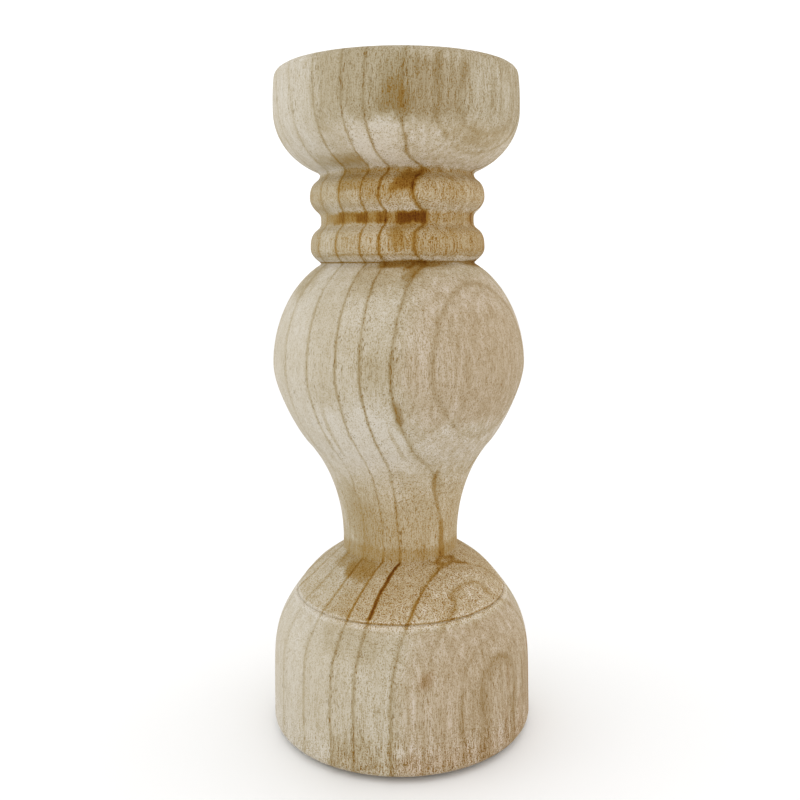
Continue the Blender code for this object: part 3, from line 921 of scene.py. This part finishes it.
def wood_outline(base, stem, beads, cup, pitch):
    """The outside of the wood from its foot up to the rim, and the height of the scribed line."""
    line_radius = base.line_diameter / 2
    wall_rise = base.wall_height - base.foot_round
    wall_lean = -math.degrees(math.atan2(base.wall_taper / 2, wall_rise))
    slope = direction(SCRIBED_LINE_LEAN) * base.line_width / 2
    across = direction(SCRIBED_LINE_LEAN - 90) * base.line_depth
    groove_shoulder = beads.groove_diameter / 2 + beads.shoulder
    neck_shoulder = beads.neck_diameter / 2 + beads.shoulder
    rim_radius = (cup.diameter - cup.rim_taper) / 2
    pen = Pen(base.diameter / 2 - base.foot_round, 0, pitch)

    pen.corner(base.foot_round, 90, 0)
    pen.line(-base.wall_taper / 2, wall_rise)
    pen.sweep(wall_lean, line_radius - slope.x, base.lower_shoulder - slope.y, SCRIBED_LINE_LEAN,
              LOWER_SHOULDER_FULLNESS)
    pen.line(*(slope + across))
    line_height = pen.points[-1].y
    pen.line(*(slope - across))
    pen.sweep(SCRIBED_LINE_LEAN, base.corner_diameter / 2, base.upper_shoulder - slope.y, CORNER_LEAN,
              UPPER_SHOULDER_FULLNESS)

    pen.sweep(STEM_FOOT_LEAN, stem.stem_diameter / 2, stem.stem_height, 0)
    pen.sweep(0, stem.cavetto_top / 2, stem.cavetto_height, INFLECTION_LEAN)
    pen.sweep(INFLECTION_LEAN, stem.bulb_diameter / 2, stem.bulb_lower, 0, BULB_LOWER_FULLNESS)
    pen.sweep(0, beads.quirk_diameter / 2 + beads.quirk_lip, stem.bulb_upper, QUIRK_BULB_LEAN)
    pen.line(-beads.quirk_lip, beads.quirk_height)

    pen.sweep(QUIRK_BEAD_LEAN, beads.lower_diameter / 2, beads.lower_rise, 0, BEAD_FULLNESS)
    pen.sweep(0, groove_shoulder, beads.lower_fall, BEAD_TOP_LEAN, BEAD_FULLNESS)
    pen.sweep(BEAD_TOP_LEAN, beads.groove_diameter / 2, beads.groove_fall, 0, BEAD_FULLNESS)
    pen.sweep(0, groove_shoulder - beads.shoulder / 2, beads.groove_rise, BEAD_FOOT_LEAN, BEAD_FULLNESS)
    pen.sweep(BEAD_FOOT_LEAN, beads.upper_diameter / 2, beads.upper_rise, 0, BEAD_FULLNESS)
    pen.sweep(0, neck_shoulder, beads.upper_fall, BEAD_TOP_LEAN, BEAD_FULLNESS)
    pen.sweep(BEAD_TOP_LEAN, beads.neck_diameter / 2, beads.neck_fall, 0, BEAD_FULLNESS)
    pen.line(beads.crease, beads.neck_rise)

    pen.sweep(CUP_UNDERSIDE_LEAN, cup.diameter / 2, cup.underside, 0, CUP_FULLNESS)
    round_height = cup.rim_round * (1 + math.sin(math.radians(RIM_LEAN)))
    pen.sweep(0, rim_radius, cup.wall_height - round_height, RIM_LEAN)
    pen.corner(cup.rim_round, RIM_LEAN, -90)
    return pen.points, line_height


def recess_radius(cup):
    return (cup.diameter - cup.rim_taper) / 2 - cup.rim_wall


def recess_outline(cup, top, pitch):
    """The recess and the pocket in its floor, from the axis out to the rim at this height."""
    floor = top - cup.recess_depth
    pen = Pen(0, floor - cup.pocket_depth, pitch)
    pen.line(cup.pocket_diameter / 2, 0)
    pen.line(0, cup.pocket_depth)
    pen.line(recess_radius(cup) - cup.pocket_diameter / 2, 0)
    pen.line(0, cup.recess_depth - cup.inner_round)
    pen.corner(cup.inner_round, 0, 90)
    return pen.points


def underside_outline(base, pitch):
    """The underside with the lathe's centre mark, from the axis outwards."""
    pen = Pen(0, base.centre_mark_depth, pitch)
    pen.line(base.centre_mark / 2, -base.centre_mark_depth)
    pen.line(base.diameter / 2 - base.foot_round - base.centre_mark / 2, 0)
    return pen.points


def pan_outline(metal, room, pitch):
    """The closed outline of the pressed sheet, for a recess of this radius: floor, corner, wall and lip."""
    half = metal.sheet / 2
    hole = metal.nail_diameter / 2 + metal.hole_clearance
    wall = room - metal.pan_clearance - metal.lip / 2
    pen = Pen(hole, half, pitch)
    pen.line(wall - metal.pan_round - hole, 0)
    pen.corner(metal.pan_round, 90, 0)
    pen.line(0, metal.pan_height - metal.lip / 2 - half - metal.pan_round)
    middle = pen.points
    outer, inner = [], []
    for before, point, after in zip(middle[:1] + middle, middle, middle[1:] + middle[-1:]):
        along = (after - before).normalized()
        side = Vector((along.y, -along.x)) * half
        outer.append(point + side)
        inner.append(point - side)
    lip = [middle[-1] + metal.lip / 2 * direction(120 - 240 * step / LIP_STEPS)
           for step in range(LIP_STEPS + 1)]
    return outer + lip + inner[::-1]


def nail_outline(metal, pitch):
    """The nail from the underside of its head to its point."""
    shank = metal.nail_length - metal.point_length
    round_size = metal.head_thickness / 2
    pen = Pen(0, -metal.head_gap - metal.head_thickness, pitch)
    pen.line(metal.head_diameter / 2 - round_size, 0)
    pen.corner(round_size, 90, -90)
    pen.line(metal.nail_diameter / 2 - pen.points[-1].x, 0)
    pen.line(0, metal.sheet + metal.head_gap + shank)
    pen.sweep(0, metal.point_diameter / 2, metal.point_length, -8)
    pen.line(-metal.point_diameter / 2, metal.point_diameter / 2)
    return pen.points


def lift(points, height):
    """An outline moved up."""
    return [point + Vector((0, height)) for point in points]


class CANDLE_OT_wood(bpy.types.Operator):
    """Turn the wooden body from one billet: base, stem, bulb, beads, cup and recess"""

    bl_idname = "candle_holder.wood"
    bl_label = "Turned wood"

    def execute(self, context):
        scene = context.scene
        outside, line_height = wood_outline(scene.candle_base, scene.candle_stem, scene.candle_beads,
                                            scene.candle_cup, WOOD_PITCH)
        recess = recess_outline(scene.candle_cup, outside[-1].y, 2.5 * WOOD_PITCH)
        underside = underside_outline(scene.candle_base, 3 * WOOD_PITCH)
        outline = lift(recess + outside[::-1] + underside[::-1], UNDERSIDE_Z)
        body = spin_outline("wood_body", outline, WOOD_STEPS, WOOD_SMOOTH)
        roughen(body, depth=0.09 * MM, size=1.8 * MM, stretch=7.0, seed=3.0)
        dress(body, "holder", "turned_body", wood_material(scene.candle_wood, line_height / MM))
        return {"FINISHED"}


class CANDLE_OT_pan(bpy.types.Operator):
    """Press the metal pan that lies loose in the cup"""

    bl_idname = "candle_holder.pan"
    bl_label = "Pan"

    def execute(self, context):
        scene = context.scene
        outline = pan_outline(scene.candle_metal, recess_radius(scene.candle_cup), PAN_PITCH)
        pan = spin_outline("metal_pan", lift(outline, PAN_SEAT_Z), PAN_STEPS, METAL_SMOOTH, closed=True)
        dress(pan, "pan", "candle_pan", steel_material(scene.candle_fittings))
        return {"FINISHED"}


class CANDLE_OT_nail(bpy.types.Operator):
    """Forge the pricket, a nail with its head under the pan"""

    bl_idname = "candle_holder.nail"
    bl_label = "Pricket"

    def execute(self, context):
        scene = context.scene
        outline = lift(nail_outline(scene.candle_metal, NAIL_PITCH), PAN_SEAT_Z)
        nail = spin_outline("metal_pricket", outline, NAIL_STEPS, METAL_SMOOTH)
        dress(nail, "pan", "candle_pricket", steel_material(scene.candle_fittings))
        return {"FINISHED"}


class CANDLE_OT_felt(bpy.types.Operator):
    """Cut the felt pads under the base"""

    bl_idname = "candle_holder.felt"
    bl_label = "Felt pads"

    def execute(self, context):
        material = felt_material(context.scene.candle_fittings)
        nodes = sorted(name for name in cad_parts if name.startswith("felt_pad"))
        boxes = [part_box(node) for node in nodes]
        middles = [(low + high) / 2 for low, high in boxes]
        pads = [self.cut_pad(middles[0], boxes[0][1] - boxes[0][0])]
        for middle in middles[1:]:
            pads.append(self.copy_pad(pads[0], middle - middles[0]))
        for number, (pad, node) in enumerate(zip(pads, nodes), 1):
            roughen(pad, depth=0.12 * MM, size=0.6 * MM, stretch=1.0, seed=10.0 * number)
            pad.name = pad.data.name = f"felt_{number}"
            dress(pad, "holder", node, material)
        return {"FINISHED"}

    def cut_pad(self, middle, size):
        """A flat round pad with a softened edge, its faces divided finely enough to be roughened."""
        bpy.ops.object.select_all(action="DESELECT")
        bpy.ops.mesh.primitive_cylinder_add(vertices=PAD_SIDES, radius=size.x / 2, depth=size.z,
                                            location=middle)
        bpy.ops.object.mode_set(mode="EDIT")
        bpy.ops.mesh.select_mode(type="FACE")
        bpy.ops.mesh.select_all(action="DESELECT")
        bpy.ops.object.mode_set(mode="OBJECT")
        pad = bpy.context.active_object
        for face in pad.data.polygons:
            face.select = abs(face.normal.z) > 0.5
        bpy.ops.object.mode_set(mode="EDIT")
        for _ in range(PAD_RINGS):
            bpy.ops.mesh.inset(thickness=PAD_RING_WIDTH, use_individual=True)
        bpy.ops.mesh.poke()
        bpy.ops.mesh.select_all(action="SELECT")
        bpy.ops.mesh.subdivide(number_cuts=1)
        bpy.ops.object.mode_set(mode="OBJECT")
        bpy.ops.object.transform_apply(location=True, rotation=True, scale=True)
        bevel = pad.modifiers.new("Edge", "BEVEL")
        bevel.width = PAD_EDGE
        bevel.segments = 3
        bevel.limit_method = "ANGLE"
        bevel.angle_limit = math.radians(50)
        bpy.ops.object.modifier_apply(modifier=bevel.name)
        bpy.ops.object.shade_smooth()
        return pad

    def copy_pad(self, pad, step):
        """A copy with a mesh of its own, moved by a step that is then applied to that mesh."""
        bpy.ops.object.select_all(action="DESELECT")
        pad.select_set(True)
        bpy.context.view_layer.objects.active = pad
        bpy.ops.object.duplicate(linked=False)
        bpy.ops.transform.translate(value=step)
        bpy.ops.object.transform_apply(location=True, rotation=True, scale=True)
        return bpy.context.active_object


class CANDLE_OT_studio(bpy.types.Operator):
    """Lay the pale floor, hang the soft lights and stand the camera at the photograph's angle"""

    bl_idname = "candle_holder.studio"
    bl_label = "Studio"

    def execute(self, context):
        look = context.scene.candle_studio
        bpy.ops.object.select_all(action="DESELECT")
        bpy.ops.mesh.primitive_circle_add(vertices=96, radius=look.floor_radius, fill_type="NGON")
        floor = context.active_object
        floor.name = "floor"
        floor.data.materials.append(floor_material(look))
        self.light_room(context.scene, look)
        for name, place, part in LIGHTS:
            self.soft_light(name, place, look.side_light * part)
        self.stand_camera(context.scene, look)
        context.scene.view_settings.view_transform = "Standard"
        return {"FINISHED"}

    def light_room(self, scene, look):
        """An even pale light from all round."""
        world = bpy.data.worlds.new("studio")
        scene.world = world
        world.use_nodes = True
        background = world.node_tree.nodes["Background"].inputs
        background["Color"].default_value = (1, 1, 1, 1)
        background["Strength"].default_value = look.sky

    def soft_light(self, name, place, power):
        """A large soft light that faces the middle of the object."""
        bpy.ops.object.light_add(type="AREA", location=place)
        light = bpy.context.active_object
        light.name = name
        light.data.shape = "DISK"
        light.data.size = LIGHT_SIZE
        light.data.energy = power
        aim = Vector((0, 0, CAD_BOX[1].z / 2)) - light.location
        light.rotation_euler = aim.to_track_quat("-Z", "Y").to_euler()
        light.visible_camera = False

    def stand_camera(self, scene, look):
        """The camera stands where the photograph was taken from."""
        place = (look.camera_offset, -look.camera_distance, look.camera_height)
        bpy.ops.object.camera_add(location=place)
        camera = bpy.context.active_object
        camera.name = "camera"
        camera.data.sensor_width = 36.0
        camera.data.lens = look.lens
        camera.data.clip_start = 0.01
        camera.data.clip_end = 100.0
        camera.rotation_euler = (math.pi / 2 - look.camera_pitch, 0, 0)
        camera.rotation_euler.rotate_axis("Z", -look.camera_roll)
        scene.camera = camera


OPERATORS = (CANDLE_OT_wood, CANDLE_OT_pan, CANDLE_OT_nail, CANDLE_OT_felt, CANDLE_OT_studio)


class CANDLE_PT_panel(bpy.types.Panel):
    """Lists the operators and the main sizes and colours"""

    bl_idname = "CANDLE_PT_panel"
    bl_label = "Candle holder"
    bl_space_type = "VIEW_3D"
    bl_region_type = "UI"
    bl_category = "Candle holder"

    def draw(self, context):
        for operator in OPERATORS:
            self.layout.operator(operator.bl_idname)
        for attribute, group in SETTINGS.items():
            box = self.layout.box()
            box.label(text=group.__doc__.strip())
            for name in group.__annotations__:
                box.prop(getattr(context.scene, attribute), name)


SETTINGS = {
    "candle_base": BaseSizes,
    "candle_stem": StemSizes,
    "candle_beads": BeadSizes,
    "candle_cup": CupSizes,
    "candle_metal": MetalSizes,
    "candle_wood": WoodLook,
    "candle_fittings": FittingsLook,
    "candle_studio": StudioLook,
}
CLASSES = (*SETTINGS.values(), *OPERATORS, CANDLE_PT_panel)


def register():
    for cls in CLASSES:
        bpy.utils.register_class(cls)
    for attribute, group in SETTINGS.items():
        setattr(bpy.types.Scene, attribute, bpy.props.PointerProperty(type=group))


def unregister():
    for attribute in SETTINGS:
        delattr(bpy.types.Scene, attribute)
    for cls in reversed(CLASSES):
        bpy.utils.unregister_class(cls)


def main():
    register()
    bpy.ops.candle_holder.wood()
    bpy.ops.candle_holder.pan()
    bpy.ops.candle_holder.nail()
    bpy.ops.candle_holder.felt()
    bpy.ops.candle_holder.studio()


if __name__ == "__main__":
    main()
